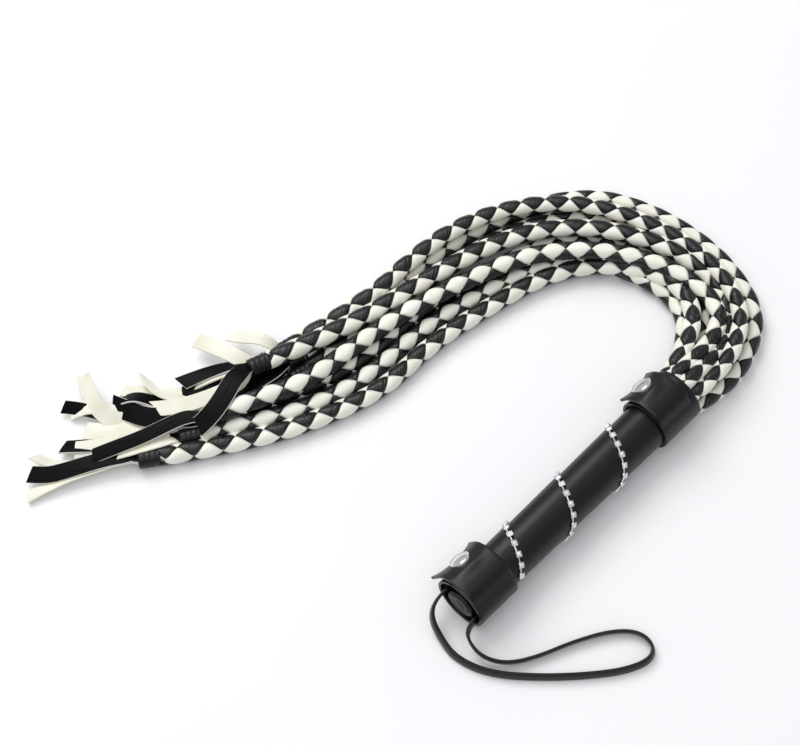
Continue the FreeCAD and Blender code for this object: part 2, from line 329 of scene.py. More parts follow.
WRIST_LEATHER = leather("wrist_leather", (0.003, 0.0025, 0.003), (0.006, 0.005, 0.006), 0.24, 0.36)


# ---- tails: round braids of four strands ---------------------------------------------------
# Each route is its CAD tube's, in millimetres, started inside the collar and with its points
# moved to follow the photograph more closely.
TAIL_ROUTES = {
    "a": [(88, -14, 10.5), (110, -17.5, 8), (134, -16, 6.5), (166, -1, 6), (180, 41, 6),
          (176, 87, 6), (157, 126, 6), (112, 151.5, 6), (68, 161.5, 6),
          (26, 163, 6), (-12, 165.5, 6.5), (-37, 170, 7)],
    "b": [(88, -12, 21), (110, -13, 20.5), (132, -9, 19), (155, 4, 16.8), (166.5, 30, 16.4),
          (167.5, 62, 16.5), (157, 97, 17), (140.5, 126, 17), (112, 149.5, 17), (77, 163.5, 16.6),
          (42, 166, 15.8), (10, 165.5, 14.5), (-36, 177, 10)],
    "c": [(88, -5, 26), (108, -5, 24), (129.5, -2, 15), (150, 9, 11), (162, 30, 11.5),
          (160, 58, 15.5), (148.5, 86, 16.8), (130, 112.5, 17.2), (100.5, 134, 17.4), (62, 146, 17.2),
          (22.5, 153.5, 17), (-12.5, 161.5, 16.6), (-57.5, 178, 16)],
    "d": [(88, 1.5, 6.5), (108, 2.5, 6.5), (128, 11, 6.5), (148, 23, 6), (157, 46, 6),
          (153, 76, 6), (138, 102, 6), (112, 122, 6), (70, 134, 6), (30, 142.5, 6),
          (-12, 143, 6), (-52, 153, 6), (-93, 175, 6)],
    "e": [(88, 3, 25), (108, 1.5, 24), (128, 4, 19.5), (144.5, 12, 18), (150, 30, 17.2),
          (147.5, 54, 17), (138, 76, 17), (121, 99.5, 17), (95.5, 119.5, 17), (60.5, 132.5, 16.8),
          (22, 143.5, 16.6), (-15, 149, 16.4), (-50, 152, 16), (-80, 166, 15), (-97, 173, 14)],
    "f": [(88, 7, 20), (104, 9, 21), (121, 15, 19.5), (136, 25, 17), (144.5, 43, 14),
          (140, 66, 10.5), (122, 91, 8), (96, 107, 6.6), (57.5, 116, 6), (20, 122.5, 6),
          (-19.5, 121.5, 6), (-55, 132, 6), (-98, 153, 6), (-140, 182.5, 6)],
    "g": [(88, 7, 11), (104, 9, 10), (121, 18, 7.5), (136, 31, 6), (140, 52, 6),
          (131, 84, 6), (108, 109, 6), (66, 124.5, 6), (21, 133.5, 6), (-20, 133.5, 6),
          (-58, 143, 6), (-88, 160, 6), (-114, 176, 6)],
    "h": [(88, -6, 6.5), (108, -7.5, 6.5), (128.5, -5.5, 6), (158, 5, 6), (169.5, 43, 6),
          (165, 82, 6), (146.5, 118, 6), (107, 140.5, 6), (65, 151, 6),
          (23.5, 155, 6), (-13.5, 157.5, 6), (-42, 162, 6)],
}
# How each braid lies: how far it is rolled from having a black diamond on
# top, towards its left side, at its root and along its arm; where its first diamond sits;
# and how slim it is drawn before it opens out towards its end.
TAIL_LAYS = {
    "a": (-68.0, -68.0, 0.10, 0.90),
    "b": (20.0, -6.0, 0.55, 0.84),
    "c": (0.0, -22.0, 0.25, 0.90),
    "d": (60.0, 72.0, 0.80, 0.90),
    "e": (10.0, -76.0, 0.40, 0.90),
    "f": (12.0, -20.0, 0.00, 0.90),
    "g": (-50.0, -68.0, 0.65, 0.90),
    "h": (-35.0, -35.0, 0.90, 0.90),
}

# How a strand is built round the braid's centreline.
STRAND_HALF_W = 5.8 * MM
STRAND_MEAN_R = 4.3 * MM
STRAND_RISE = 1.1 * MM      # how far it climbs over the others, and dips under them
STRAND_PUFF = 0.5 * MM      # how far its outside is crowned
STRAND_DEPTH = 0.9 * MM
SLANT_R = STRAND_MEAN_R * 1.12
STRAND_SLANT = math.atan2(2 * math.pi * SLANT_R, BRAID_TURN)
CROSSING_POWER = 0.4        # under 1, so a strand changes level quickly
BRAID_STEP = 1.0 * MM
# How its girth and its roll change along the braid.
ROOT_SQUEEZE = 0.90
ROOT_SQUEEZE_LENGTH = 35.0 * MM
END_TAPER = 0.16
END_TAPER_LENGTH = 9.0 * MM
OPENING_LENGTH = 150.0 * MM
ROLL_LENGTH = 100.0 * MM


def strand_section():
    """Across a strand: (u from -1 to 1, height 0 to 1, on the outside)."""
    outer = []
    for i in range(9):
        u = -1.0 + 2.0 * i / 8
        outer.append((u, math.sqrt(max(0.0, 1.0 - abs(u) ** 3.4)), True))
    inner = [(0.82, -0.75, False), (0.0, -0.9, False), (-0.82, -0.75, False)]
    return outer + inner


SECTION = strand_section()


def braid_sizes(path, along, slim):
    """At each place along a braid: how large its pattern is, and how large its girth."""
    to_end = path.length - along
    size = slim + (1 - slim) * np.clip(1 - to_end / OPENING_LENGTH, 0, 1)
    girth = ROOT_SQUEEZE + (1 - ROOT_SQUEEZE) * np.clip(along / ROOT_SQUEEZE_LENGTH, 0, 1)
    girth *= size
    girth *= 1.0 - END_TAPER * np.clip(1 - to_end / END_TAPER_LENGTH, 0, 1) ** 2
    return size, girth


def strand_line(path, along, sizes, turns, angle, way, place_across):
    """The line of points along a strand at one place across it. way is 1 or -1 round the braid."""
    size, girth = sizes
    u, height, outside = place_across
    dz = -way * u * STRAND_HALF_W * size * math.sin(STRAND_SLANT)
    dt = u * STRAND_HALF_W * math.cos(STRAND_SLANT) / SLANT_R
    # black lies outside on two faces of the braid, cream on the other two
    crossing = 4 * math.pi * turns + way * dt + 2 * math.pi * dz / (BRAID_TURN * size)
    rise = way * np.cos(crossing)
    rise = np.sign(rise) * np.abs(rise) ** CROSSING_POWER
    radius = STRAND_MEAN_R + STRAND_RISE * rise
    radius = radius + (STRAND_PUFF if outside else STRAND_DEPTH) * height
    radius = radius * girth
    theta = way * 2 * math.pi * turns + angle + dt
    place, _, left, up = path.at(along + dz)
    out = np.cos(theta)[:, None] * up + np.sin(theta)[:, None] * left
    return place + radius[:, None] * out


def strand_faces(first, n_along):
    """The faces of one closed strand, its lines of points starting at number first."""
    starts = [first + i * n_along for i in range(len(SECTION))]
    faces = []
    for here, beside in zip(starts, starts[1:] + starts[:1]):
        for s in range(n_along - 1):
            faces.append((here + s, beside + s, beside + s + 1, here + s + 1))
    faces.append(tuple(starts)[::-1])
    faces.append(tuple(start + n_along - 1 for start in starts))
    return faces


def braid(key, path, mats):
    """Two black strands wound one way round and two cream strands the other, over and under."""
    root_roll, arm_roll, phase, slim = TAIL_LAYS[key]
    n_along = int(path.length / BRAID_STEP) + 1
    along = np.linspace(0.0, path.length, n_along)
    sizes = braid_sizes(path, along, slim)
    steps = np.diff(along) / (BRAID_TURN * sizes[0][1:])
    turns = np.concatenate([[0.0], np.cumsum(steps)]) + phase / 2
    roll = np.radians(root_roll + (arm_roll - root_roll) * np.clip(along / ROLL_LENGTH, 0, 1))
    lines, faces, slots, uvs = [], [], [], []
    for colour, way in enumerate((1.0, -1.0)):
        for start_angle in (0.0, math.pi):
            strand = strand_faces(len(lines) * n_along, n_along)
            faces.extend(strand)
            slots.extend([colour] * len(strand))
            for place_across in SECTION:
                lines.append(strand_line(path, along, sizes, turns, start_angle + roll, way, place_across))
                uvs.append(np.stack([np.full(n_along, place_across[0] * 0.5 + 0.5), along], -1))
    return mesh_object("braid_" + key, np.concatenate(lines), faces, mats, True, slots, np.concatenate(uvs))


tail_paths = {key: Path(smooth_line(route)) for key, route in TAIL_ROUTES.items()}
braids = {}
for key, path in tail_paths.items():
    braids[key] = braid(key, path, [BLACK_STRAND, CREAM_STRAND])


# ---- handle ---------------------------------------------------------------------------------
def around(radius, degrees, x=0.0):
    a = math.radians(degrees)
    return Vector((x, AXIS_Y + radius * math.cos(a), AXIS_Z + radius * math.sin(a)))


WRAP_STEP = 0.55 * MM       # how much higher the strip's free edge lies than the next turn
WRAP_STEP_WIDTH = 0.02      # of a turn
DISC_T = 3.0
DISC_R = 8.9


def handle_wrap():
    """The wound strip: each turn ends in a small step down to the next, along the chain."""
    low, high = wrap_low.x, wrap_high.x
    n_x, n_a = 300, 120
    points, faces, uvs = [], [], []
    for i in range(n_x + 1):
        x = low + (high - low) * i / n_x
        for j in range(n_a):
            degrees = 360.0 * j / n_a
            turn = (x - CHAIN_START_X) / CHAIN_PITCH + (degrees - CHAIN_START_DEG) / 360.0
            part = turn - math.floor(turn)
            edge = min(1.0, (1.0 - part) / WRAP_STEP_WIDTH)
            radius = WRAP_R - WRAP_STEP * (1.0 - part * edge)
            points.append(around(radius, degrees, x))
            uvs.append((degrees / 360.0, x))
    for i in range(n_x):
        for j in range(n_a):
            k = (j + 1) % n_a
            faces.append((i * n_a + j, (i + 1) * n_a + j, (i + 1) * n_a + k, i * n_a + k))
    faces.append(tuple(range(n_a)))
    faces.append(tuple(range(n_x * n_a, (n_x + 1) * n_a))[::-1])
    piece = mesh_object("wound_wrap", points, faces, [BLACK], True, None, uvs)
    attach(piece, "handle")
    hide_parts("handle_wrap")


handle_wrap()


def lathe(name, profile, base, axis, materials, segments=64, crease=35):
    """Turn a profile of (radius, height) pairs in millimetres round an axis; both ends are on it."""
    axis = Vector(axis).normalized()
    side = axis.orthogonal().normalized()
    other = axis.cross(side)
    points = [base + axis * profile[0][1] * MM]
    for radius, height in profile[1:-1]:
        for j in range(segments):
            a = 2 * math.pi * j / segments
            out = side * math.cos(a) + other * math.sin(a)
            points.append(base + out * radius * MM + axis * height * MM)
    points.append(base + axis * profile[-1][1] * MM)
    rings = len(profile) - 2
    last = len(points) - 1
    faces = []
    for j in range(segments):
        k = (j + 1) % segments
        faces.append((0, 1 + j, 1 + k))
        for i in range(rings - 1):
            low, high = 1 + i * segments, 1 + (i + 1) * segments
            faces.append((low + j, high + j, high + k, low + k))
        faces.append((last, last - segments + k, last - segments + j))
    return mesh_object(name, points, faces, materials, crease=crease)


def butt_disc():
    """The end of the handle: a disc of leather with a rolled rim and two pressed rings."""
    profile = [(0, 3.1), (3.2, 3.05), (3.5, 2.85), (3.8, 3.0), (6.4, 2.9), (6.7, 2.65), (7.0, 2.85),
               (8.2, 2.6), (8.75, 2.1), (DISC_R, 1.5), (DISC_R, 0), (0, 0)]
    low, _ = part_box("butt_disc")
    base = Vector((low[0] + DISC_T * MM, AXIS_Y, AXIS_Z))
    piece = lathe("butt_cap", profile, base, (-1, 0, 0), [BLACK])
    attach(piece, "handle")
    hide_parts("butt_disc")


def tail_root():
    """The tails' tops are pressed together into a plug inside the collar."""
    low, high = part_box("tail_root_plug")
    length = (high[0] - low[0]) / MM
    profile = [(0, 0), (13.6, 0), (13.95, 0.4), (13.95, length - 1.4), (13.2, length - 0.5),
               (11.0, length - 0.1), (0, length)]
    piece = lathe("tail_root", profile, Vector((low[0], AXIS_Y, AXIS_Z)), (1, 0, 0), [BLACK])
    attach(piece, "handle")
    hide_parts("tail_root_plug")


butt_disc()
tail_root()


# ---- chain of stones; its shapes are in millimetres ------------------------------------------
CUP_SIDE = 3.5
CUP_H = 1.25
CLAW_PLACE = 0.66           # of the cup's half side, out from its middle
CLAW_LEAN = 0.16            # towards the stone, from one ring to the next
STONE_R = 1.36
LINK_R = 0.5
LINK_ANCHOR = (-0.55, 0, 0.62)
CHAIN_LIFT = 0.15 * MM
CHAIN_SLANT = math.atan2(CHAIN_PITCH, 2 * math.pi * WRAP_R)


def chain_places():
    """Where each cup sits on the wrap: (x, degrees round the handle)."""
    step = CHAIN_PITCH / STONES_PER_TURN
    low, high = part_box("chain_cups")
    middle = (low[0] + high[0]) / 2
    count = round((high[0] - low[0] - CUP_SIDE * MM) / step) + 1
    first = round((middle - CHAIN_START_X) / step - (count - 1) / 2)
    return [(CHAIN_START_X + i * step, CHAIN_START_DEG - i * 360.0 / STONES_PER_TURN)
            for i in range(first, first + count)]


def on_wrap(x, degrees):
    """The turn and shift that carry a piece built at the origin, +Z outward, onto the wrap."""
    move = Matrix.Translation(around(WRAP_R + CHAIN_LIFT, degrees, x))
    lean = Matrix.Rotation(math.radians(degrees - 90), 4, "X")
    slant = Matrix.Rotation(-CHAIN_SLANT, 4, "Z")
    return move @ lean @ slant


def ring_of(sides, radius, height, first_deg=0.0):
    ring = []
    for j in range(sides):
        a = math.radians(first_deg) + 2 * math.pi * j / sides
        ring.append((radius * math.cos(a), radius * math.sin(a), height))
    return ring


def stacked(rings):
    """A closed solid from rings of equally many points, one above the other."""
    sides = len(rings[0])
    points = [p for ring in rings for p in ring]
    faces = [tuple(range(sides))[::-1]]
    for i in range(len(rings) - 1):
        for j in range(sides):
            k = (j + 1) % sides
            faces.append((i * sides + j, i * sides + k, (i + 1) * sides + k, (i + 1) * sides + j))
    faces.append(tuple(range((len(rings) - 1) * sides, len(rings) * sides)))
    return points, faces


def cup_shapes():
    """One square cup with a bevelled lip, and its four claws."""
    half = CUP_SIDE / 2

    def square(side, height):
        cut = 0.25 * side
        corners = [(side, side - cut), (side - cut, side), (cut - side, side), (-side, side - cut),
                   (-side, cut - side), (cut - side, -side), (side - cut, -side), (side, cut - side)]
        return [(x, y, height) for x, y in corners]

    tray = stacked([square(half * 0.86, 0), square(half, 0.25), square(half, CUP_H - 0.2),
                    square(half * 0.93, CUP_H), square(half * 0.78, CUP_H),
                    square(half * 0.74, CUP_H - 0.45)])
    claws = []
    for sx in (-1, 1):
        for sy in (-1, 1):
            rings = [ring_of(6, 0.36, 0.6), ring_of(6, 0.36, CUP_H + 0.12), ring_of(6, 0.2, CUP_H + 0.36)]
            moved = []
            for i, ring in enumerate(rings):
                out = half * CLAW_PLACE - CLAW_LEAN * i
                moved.append([(x + sx * out, y + sy * out, z) for x, y, z in ring])
            claws.append(stacked(moved))
    return [tray] + claws


def stone_shape():
    """A round cut stone: girdle, crown facets and a flat table."""
    return stacked([ring_of(8, 0.9, 0.35, 22.5),
                    ring_of(8, STONE_R, CUP_H - 0.3), ring_of(8, STONE_R, CUP_H - 0.15),
                    ring_of(8, 1.08, CUP_H + 0.2, 22.5), ring_of(8, 0.72, CUP_H + 0.42)])


def gather(name, shapes, materials, crease=30):
    """Join placed shapes, each (points, faces, turn-and-shift), into one object."""
    points, faces = [], []
    for shape_points, shape_faces, carry in shapes:
        first = len(points)
        points.extend(carry @ (Vector(p) * MM) for p in shape_points)
        faces.extend(tuple(first + i for i in face) for face in shape_faces)
    return mesh_object(name, points, faces, materials, crease=crease)


def chain():
    places = [on_wrap(x, degrees) for x, degrees in chain_places()]
    cups = [(*shape, carry) for carry in places for shape in cup_shapes()]
    stones = [(*stone_shape(), carry) for carry in places]
    links = []
    for here, following in zip(places, places[1:]):
        start = here @ (Vector(LINK_ANCHOR) * MM)
        end = following @ (Vector(LINK_ANCHOR) * MM)
        length = (end - start).length / MM
        bar = stacked([ring_of(10, LINK_R, 0), ring_of(10, LINK_R, length)])
        turn = (end - start).to_track_quat("Z", "Y").to_matrix().to_4x4()
        links.append((*bar, Matrix.Translation(start) @ turn))
    for name, shapes, material, node in (("cups", cups, SILVER, "chain_cups"),
                                         ("stones", stones, STONE, "chain_stones"),
                                         ("links", links, SILVER, "chain_links")):
        piece = gather("chain_of_" + name, shapes, [material])
        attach(piece, "handle")
        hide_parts(node)


chain()


# ---- collars; radii and lengths are in millimetres ---------------------------------------------
COLLAR_IN = 14.05
COLLAR_OUT = 16.0
COLLAR_SAG = 0.9            # how far a rim stands off on the sagging side
COLLAR_SAG_DEG = -40.0      # the side that sags most
RIM_ROUND = 0.35            # how much a rim's corner is taken off
RIM_START = 0.9             # of the half width
FLAP_OUT = 19.2
FLAP_ROOT_DEG = 140.0       # where the flap rises out of the collar
FLAP_FULL_DEG = 104.0       # where it has reached its full radius
FLAP_BEND_DEG = 21.0        # where its straight tip starts, at the middle
FLAP_ROOT_PROUD = 0.1
FLAP_THIN = 0.7             # at its root, where it merges into the collar
FLAP_THICK = 2.0
FLAP_EDGE_ROUND = 0.3
FLAP_EDGE_START = 0.93      # of the half width
PINCH_DEG = 69.0            # the bulge that the snap's pull leaves across the flap
PINCH_HEIGHT = 1.2
PINCH_HALF_DEG = 9.0
PINCH_HALF_T = 0.6
TIP_RUN = 0.8               # of the straight tip, at the middle
OUTER_CORNER_RUN = 6.0      # the extra run of the corner towards the tails
INNER_CORNER_RUNS = {"butt": 9.2, "tails": 3.5}
FLAP_STEPS = 44
TIP_STEPS = 8


def ease(value, start, end):
    """0 at start, 1 at end, smooth at both."""
    part = min(1.0, max(0.0, (value - start) / (end - start)))
    return part * part * (3 - 2 * part)


def closed_sweep(sections):
    """Faces over a row of equal closed loops, capped at both ends."""
    size = len(sections[0])
    points = [p for section in sections for p in section]
    faces = [tuple(range(size))[::-1]]
    for i in range(len(sections) - 1):
        for j in range(size):
            k = (j + 1) % size
            faces.append((i * size + j, i * size + k, (i + 1) * size + k, (i + 1) * size + j))
    faces.append(tuple(range((len(sections) - 1) * size, len(sections) * size)))
    return points, faces


def collar_ring(name, node):
    """The strap round the handle; its rims stand off a little where it sags."""
    low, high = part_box(node)
    middle, half = (low[0] + high[0]) / 2, (high[0] - low[0]) / 2
    across = [-1, -0.97, -0.9, -0.75, -0.4, 0, 0.4, 0.75, 0.9, 0.97, 1]
    segments = 120
    points, faces = [], []
    for j in range(segments):
        degrees = 360.0 * j / segments
        sag = 0.5 + 0.5 * math.cos(math.radians(degrees - COLLAR_SAG_DEG))
        loop = []
        for t in across:
            edge = RIM_ROUND * max(0.0, (abs(t) - RIM_START) / (1 - RIM_START)) ** 2
            loop.append((COLLAR_OUT - edge + COLLAR_SAG * sag * abs(t) ** 5, t))
        for t in reversed(across):
            loop.append((COLLAR_IN + COLLAR_SAG * sag * abs(t) ** 5, t))
        points.extend(around(radius * MM, degrees, middle + half * t) for radius, t in loop)
    size = 2 * len(across)
    for j in range(segments):
        n = (j + 1) % segments
        for i in range(size):
            k = (i + 1) % size
            faces.append((j * size + i, j * size + k, n * size + k, n * size + i))
    piece = mesh_object(name, points, faces, [BLACK], crease=50)
    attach(piece, "handle")
    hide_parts(node)


def flap_profile(t, corner_run):
    """Along the flap at one place across it (t from -1 to 1): (y, z, normal, thickness) each."""
    lift = abs(t) ** 2.2
    bend_deg = FLAP_BEND_DEG + 7.0 * t * t
    tip_run = TIP_RUN + (corner_run if t < 0 else OUTER_CORNER_RUN) * t * t
    rise = FLAP_OUT - COLLAR_OUT - FLAP_ROOT_PROUD
    stations = []
    for i in range(FLAP_STEPS + 1):
        degrees = FLAP_ROOT_DEG + (bend_deg - FLAP_ROOT_DEG) * i / FLAP_STEPS
        radius = COLLAR_OUT + FLAP_ROOT_PROUD + rise * ease(degrees, FLAP_ROOT_DEG, FLAP_FULL_DEG)
        radius += lift * ease(degrees, 90.0, SNAP_DEG)
        across_pinch = ((degrees - PINCH_DEG) / PINCH_HALF_DEG) ** 2
        radius += PINCH_HEIGHT * math.exp(-across_pinch - (t / PINCH_HALF_T) ** 2)
        thick = FLAP_THIN + (FLAP_THICK - FLAP_THIN) * ease(degrees, 138.0, 106.0)
        a = math.radians(degrees)
        stations.append((radius * math.cos(a), radius * math.sin(a), math.cos(a), math.sin(a), thick))
    y, z, ny, nz, thick = stations[-1]
    for i in range(1, TIP_STEPS + 1):
        run = tip_run * i / TIP_STEPS
        stations.append((y + nz * run, z - ny * run, ny, nz, thick))
    return stations


def flap(name, node, corner_run):
    """The strap's free end over the collar: pinched at the snap, its two corners standing out."""
    low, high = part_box(node)
    middle, half = (low[0] + high[0]) / 2, (high[0] - low[0]) / 2
    across = [-1, -0.98, -0.93, -0.8, -0.6, -0.4, -0.2, 0, 0.2, 0.4, 0.6, 0.8, 0.93, 0.98, 1]
    profiles = [flap_profile(t, corner_run) for t in across]
    sections = []
    for i in range(len(profiles[0])):
        outer, inner = [], []
        for t, profile in zip(across, profiles):
            y, z, ny, nz, thick = profile[i]
            soft = FLAP_EDGE_ROUND * max(0.0, (abs(t) - FLAP_EDGE_START) / (1 - FLAP_EDGE_START)) ** 2
            x = middle + half * t
            outer.append((x, AXIS_Y + (y - ny * soft) * MM, AXIS_Z + (z - nz * soft) * MM))
            depth = thick - soft
            inner.append((x, AXIS_Y + (y - ny * depth) * MM, AXIS_Z + (z - nz * depth) * MM))
        sections.append(outer + inner[::-1])
    points, faces = closed_sweep(sections)
    piece = mesh_object(name, points, faces, [BLACK], crease=50)
    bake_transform(piece)
    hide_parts(node)


def snap_cap(name, body, node):
    """A domed press-stud cap with a raised rim, its post going down through the flap."""
    dome = [(0, 1.95), (1.6, 1.9), (3.0, 1.72), (4.2, 1.4), (4.9, 1.08)]
    rim = [(5.15, 0.95), (5.35, 1.05), (5.75, 1.1), (6.1, 0.9), (6.25, 0.5), (6.25, -1.0)]
    post = [(1.6, -1.0), (1.6, -2.0), (0, -2.0)]
    low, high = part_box(node)
    middle = (low[0] + high[0]) / 2
    base = around(FLAP_OUT * MM, SNAP_DEG, middle)
    axis = around(1.0, SNAP_DEG, middle) - around(0.0, SNAP_DEG, middle)
    piece = lathe(name, dome + rim + post, base, axis, [NICKEL], 72)
    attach(piece, body)
    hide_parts(node)


def dress(node, material):
    """A hidden piece keeps its CAD shape and takes a better material."""
    nodes[node].data.materials.clear()
    nodes[node].data.materials.append(material)


for side, corner_run in INNER_CORNER_RUNS.items():
    flap_body = side + "_flap_body"
    collar_ring(side + "_strap_ring", side + "_collar")
    flap(side + "_strap_flap", side + "_flap", corner_run)
    snap_cap(side + "_snap_dome", flap_body, side + "_snap_cap")
    for part in ("_snap_socket", "_snap_stud", "_snap_post"):
        dress(side + part, NICKEL)
dress("handle_core", WOOD)


# ---- flat straps and strips ------------------------------------------------------------------------
RIBBON_STEP = 1.8 * MM
RIBBON_CHAMFER = 0.22       # of its thickness
BOUND_WIDTH = 0.55          # of its width, where it is bound


def ribbon(path, width, thickness, tilts, gather_length=0.0, slant=0.0, cup=0.0):
    """A flat strip on a path: its points, faces, face slots and (across, along) places.

    tilts turns it about its length from start to end, 0 flat and 90 on its edge. Over
    gather_length it widens from its bound root. slant cuts the end off at an angle. cup lifts
    its middle above its edges.
    """
    count = max(12, int(path.length / RIBBON_STEP))
    sections, places = [], []
    chamfer = RIBBON_CHAMFER * thickness
    half, rise = width / 2, thickness / 2
    outline = [(-half, -rise + chamfer), (-half, rise - chamfer), (-half + chamfer, rise), (0.0, rise),
               (half - chamfer, rise), (half, rise - chamfer), (half, -rise + chamfer),
               (half - chamfer, -rise), (0.0, -rise), (-half + chamfer, -rise)]
    for s in np.linspace(0.0, 1.0, count):
        tilt = math.radians(tilts[0] + (tilts[1] - tilts[0]) * s)
        narrow = 1.0
        if gather_length:
            narrow = BOUND_WIDTH + (1 - BOUND_WIDTH) * ease(s * path.length, 0.0, gather_length)
        section, marks = [], []
        for u, v in outline:
            distance = s * path.length + (slant * u / half if s == 1.0 else 0.0)
            place, tangent, left, up = path.at(np.array(distance))
            lift = v + (cup * (1.0 - (u / half) ** 2) if cup else 0.0)
            across = left * math.cos(tilt) + up * math.sin(tilt)
            over = up * math.cos(tilt) - left * math.sin(tilt)
            section.append(place + across * u * narrow + over * lift)
            marks.append((u / width + 0.5, distance))
        sections.append(section)
        places.extend(marks)
    points, faces = closed_sweep(sections)
    top_sides = (2, 3)
    slots = [1]
    for i in range(count - 1):
        slots.extend(0 if side in top_sides else 1 for side in range(len(outline)))
    slots.append(1)
    return points, faces, slots, places


# Each loose strip: colour, tilt at the binding and at the end, and its route in millimetres.
LOOSE_STRIPS = {
    "a": [("black", 10, 0, [(-62, 174, 9), (-78, 178, 7), (-98, 185, 4), (-114, 194, 4)]),
          ("black", 0, 0, [(-62, 171, 5), (-80, 174, 3), (-98, 181, 3), (-112, 190, 2)]),
          ("cream", 0, 20, [(-62, 175, 4), (-82, 184, 4), (-98, 195, 5), (-112, 210, 5), (-125, 228, 5)]),
          ("cream", 0, -5, [(-62, 173, 4), (-80, 180, 2), (-98, 188, 2), (-110, 196, 1.5)])],
    "b": [("black", 10, -10, [(-58, 184, 8), (-70, 185.5, 6), (-81, 191, 7), (-92.5, 196, 8),
                              (-104, 201, 6)]),
          ("black", 0, 0, [(-60, 182, 6), (-75, 186, 4), (-90, 192, 3), (-106, 198, 3)]),
          ("cream", 5, -15, [(-56, 183, 8), (-64, 185, 10), (-67, 193, 12), (-69.5, 204, 12),
                             (-74.5, 220, 9)]),
          ("cream", 5, -10, [(-46.5, 181, 10), (-48, 185, 15), (-52, 192, 18), (-55.5, 200, 12),
                             (-58, 208, 8)])],
    "c": [("black", 10, -10, [(-72, 182, 20), (-82, 181, 22), (-94, 177, 21), (-107, 175, 18.5),
                              (-114.5, 176.5, 15)]),
          ("black", 45, -5, [(-70, 188, 13), (-74, 194, 10), (-87, 200.5, 10), (-100.5, 206, 9)]),
          ("cream", -5, -15, [(-77, 180, 15), (-86, 181, 16), (-97, 185, 16), (-110, 192, 14.5),
                              (-118, 199, 12.5), (-129, 210.5, 10)]),
          ("cream", 50, 10, [(-72, 187, 12), (-79, 193, 9), (-88, 197, 9), (-98, 202, 6)])],
    "d": [("black", -5, -35, [(-108, 184, 5), (-122, 195, 4), (-138, 213, 5), (-149, 235, 7),
                              (-156, 245, 5)]),
          ("black", 0, 35, [(-106, 186, 6), (-114, 198, 8), (-120, 209.5, 11), (-126, 219, 12),
                            (-131, 223, 7)]),
          ("cream", 0, -10, [(-109, 185, 4), (-124, 197, 4), (-137, 211, 6), (-141, 225, 9),
                             (-147, 235, 8), (-155, 240, 3)]),
          ("cream", 0, 60, [(-104, 186, 7), (-107.5, 199, 9), (-113, 208, 10), (-114, 216, 9),
                            (-111.5, 225, 7)])],
    "e": [("black", 0, -15, [(-108, 179, 15), (-114, 186, 14.5), (-124, 190, 14), (-141, 195.5, 13),
                             (-154.5, 202, 11.5), (-167, 208, 9.5)]),
          ("black", 0, -25, [(-109, 181, 11), (-115, 189, 10.5), (-123, 197, 10.5), (-130, 204, 11),
                             (-133, 213, 10), (-136.5, 224, 8)]),
          ("cream", 0, -5, [(-110, 182, 8), (-122, 193, 7.5), (-134.5, 201, 7), (-146, 211, 6),
                            (-157.5, 225, 4)]),
          ("cream", -10, -40, [(-112, 184, 7), (-125, 200, 5), (-137, 211, 6), (-144, 219, 8),
                               (-144.5, 229, 10), (-141, 239, 11), (-136, 250, 9)])],
    "f": [("black", 10, -20, [(-150, 193, 7.5), (-160, 200, 8.5), (-170, 206, 8.5), (-186, 215, 6.5),
                              (-193, 220, 6), (-198, 227, 5)]),
          ("black", 0, 0, [(-150, 193.5, 5.5), (-160, 201, 5), (-172, 209, 3.5), (-184, 216.5, 3)]),
          ("cream", 55, 12, [(-150, 192, 5), (-165, 200, 5), (-192, 214, 4), (-208, 218.5, 2)]),
          ("cream", 0, 30, [(-150, 193, 4), (-162, 202, 3), (-176, 214, 2.5), (-186, 224, 3),
                            (-189, 233, 6)])],
    "g": [("black", 0, 20, [(-127, 184, 7), (-140, 193, 7), (-153, 207, 5), (-167, 220, 5), (-173, 227, 3)]),
          ("black", 0, 0, [(-127, 184, 5), (-138, 190, 5), (-150, 199, 4), (-162, 207, 3.5)]),
          ("cream", 5, -15, [(-127, 185, 7), (-138, 195, 8), (-151, 204.5, 8), (-161, 211.5, 6.5),
                             (-170, 220, 4.5)]),
          ("cream", 30, 20, [(-127, 184, 8), (-134, 187, 9.5), (-145, 193, 9.5), (-154, 199, 8)])],
    "h": [("black", 0, 0, [(-66, 166, 5), (-82, 170, 3), (-98, 177, 2.5), (-112, 187, 2)]),
          ("black", 0, 0, [(-66, 165, 4), (-80, 168, 2), (-95, 174, 2), (-108, 182, 1.5)]),
          ("cream", 0, 0, [(-66, 167, 4), (-82, 173, 2), (-100, 182, 1.5), (-116, 194, 1.5)]),
          ("cream", 0, 0, [(-66, 166, 3), (-84, 171, 1.5), (-102, 180, 1.2), (-118, 190, 1.2)])],
}
STRIP_WIDTHS = {"b": (10.0, 9.5, 9.5, 7.5), "c": (11.5, 9.0, 9.0, 7.0), "d": (8.0, 9.5, 9.0, 9.0),
                "e": (8.5, 12.0, 10.5, 10.0), "f": (10.0, 9.0, 7.5, 7.5)}
PLAIN_STRIP_WIDTHS = (10.0, 9.5, 10.0, 9.0)
STRIP_SLANTS = (1.5, -2.0, 0.8, 2.5)
STRIP_CUP = 0.35
GATHER_LENGTH = 16.0
PAIR_OFFSET = 1.6           # the four strips lie in layers between this and as much below
STRIP_ROOT_DEPTH = 5.0      # how far inside the binding a strip starts
BINDING_R = 4.9
LACE_RIDGE = 0.35
LACE_TURNS = 4


def tail_end(key):
    """Where a tail's braid stops and which way it points there."""
    place, tangent, _, _ = tail_paths[key].at(np.array(tail_paths[key].length))
    return Vector(place), Vector(tangent)


